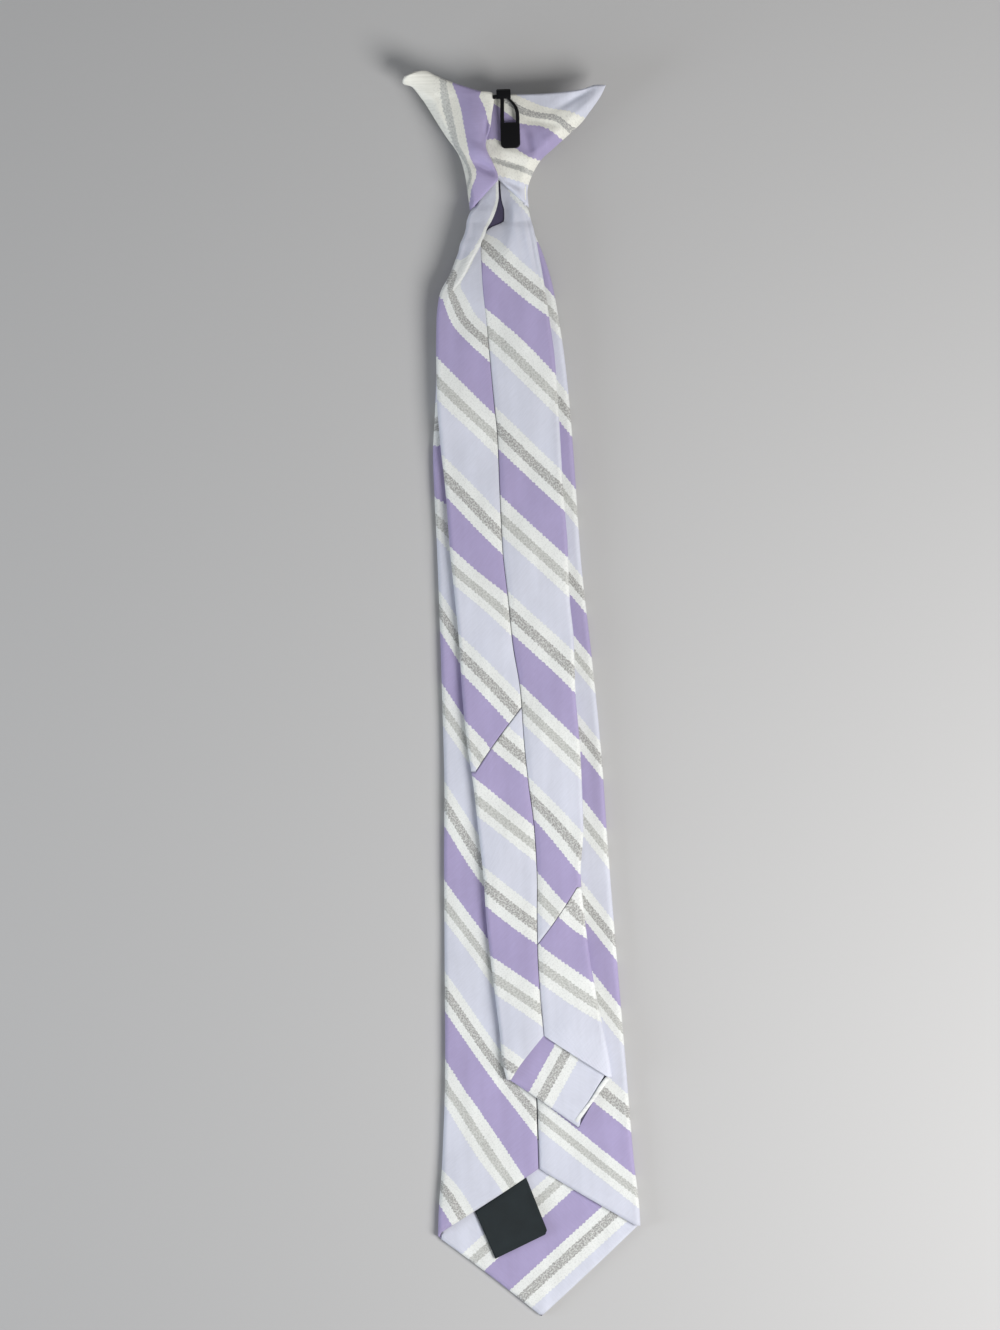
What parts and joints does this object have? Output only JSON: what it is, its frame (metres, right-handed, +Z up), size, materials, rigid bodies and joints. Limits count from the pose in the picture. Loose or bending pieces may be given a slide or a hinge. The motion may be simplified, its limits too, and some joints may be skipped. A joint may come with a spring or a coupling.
{
  "type": "clip-on necktie",
  "caption": "Pre-tied striped clip-on necktie: winged knot with a collar clip, wide folded blade, narrow folded tail with a slanting join.",
  "frame": {"origin": "middle of the tie's outline, on the surface that it lies on", "axes": "+Y from the blade's point up to the knot, +X to the right as the tie's back is seen, +Z up out of the tie's back"},
  "size_m": [0.0832, 0.508, 0.0154],
  "materials": {
    "striped_cloth": "satin striped weave",
    "knot_cloth": "satin striped weave",
    "facing_cloth": "satin striped weave",
    "label_tape": "woven satin tape",
    "clip_black": "gloss black coating"
  },
  "bodies": {
    "root": {"knot_front": "knot_cloth", "knot_wing_left": "knot_cloth", "knot_wing_right": "knot_cloth", "clip": "clip_black", "blade": "striped_cloth", "blade_tipping": "facing_cloth", "label": "label_tape", "tail_upper": "striped_cloth", "tail_lower": "striped_cloth", "tail_tipping": "facing_cloth"}
  },
  "joints": []
}
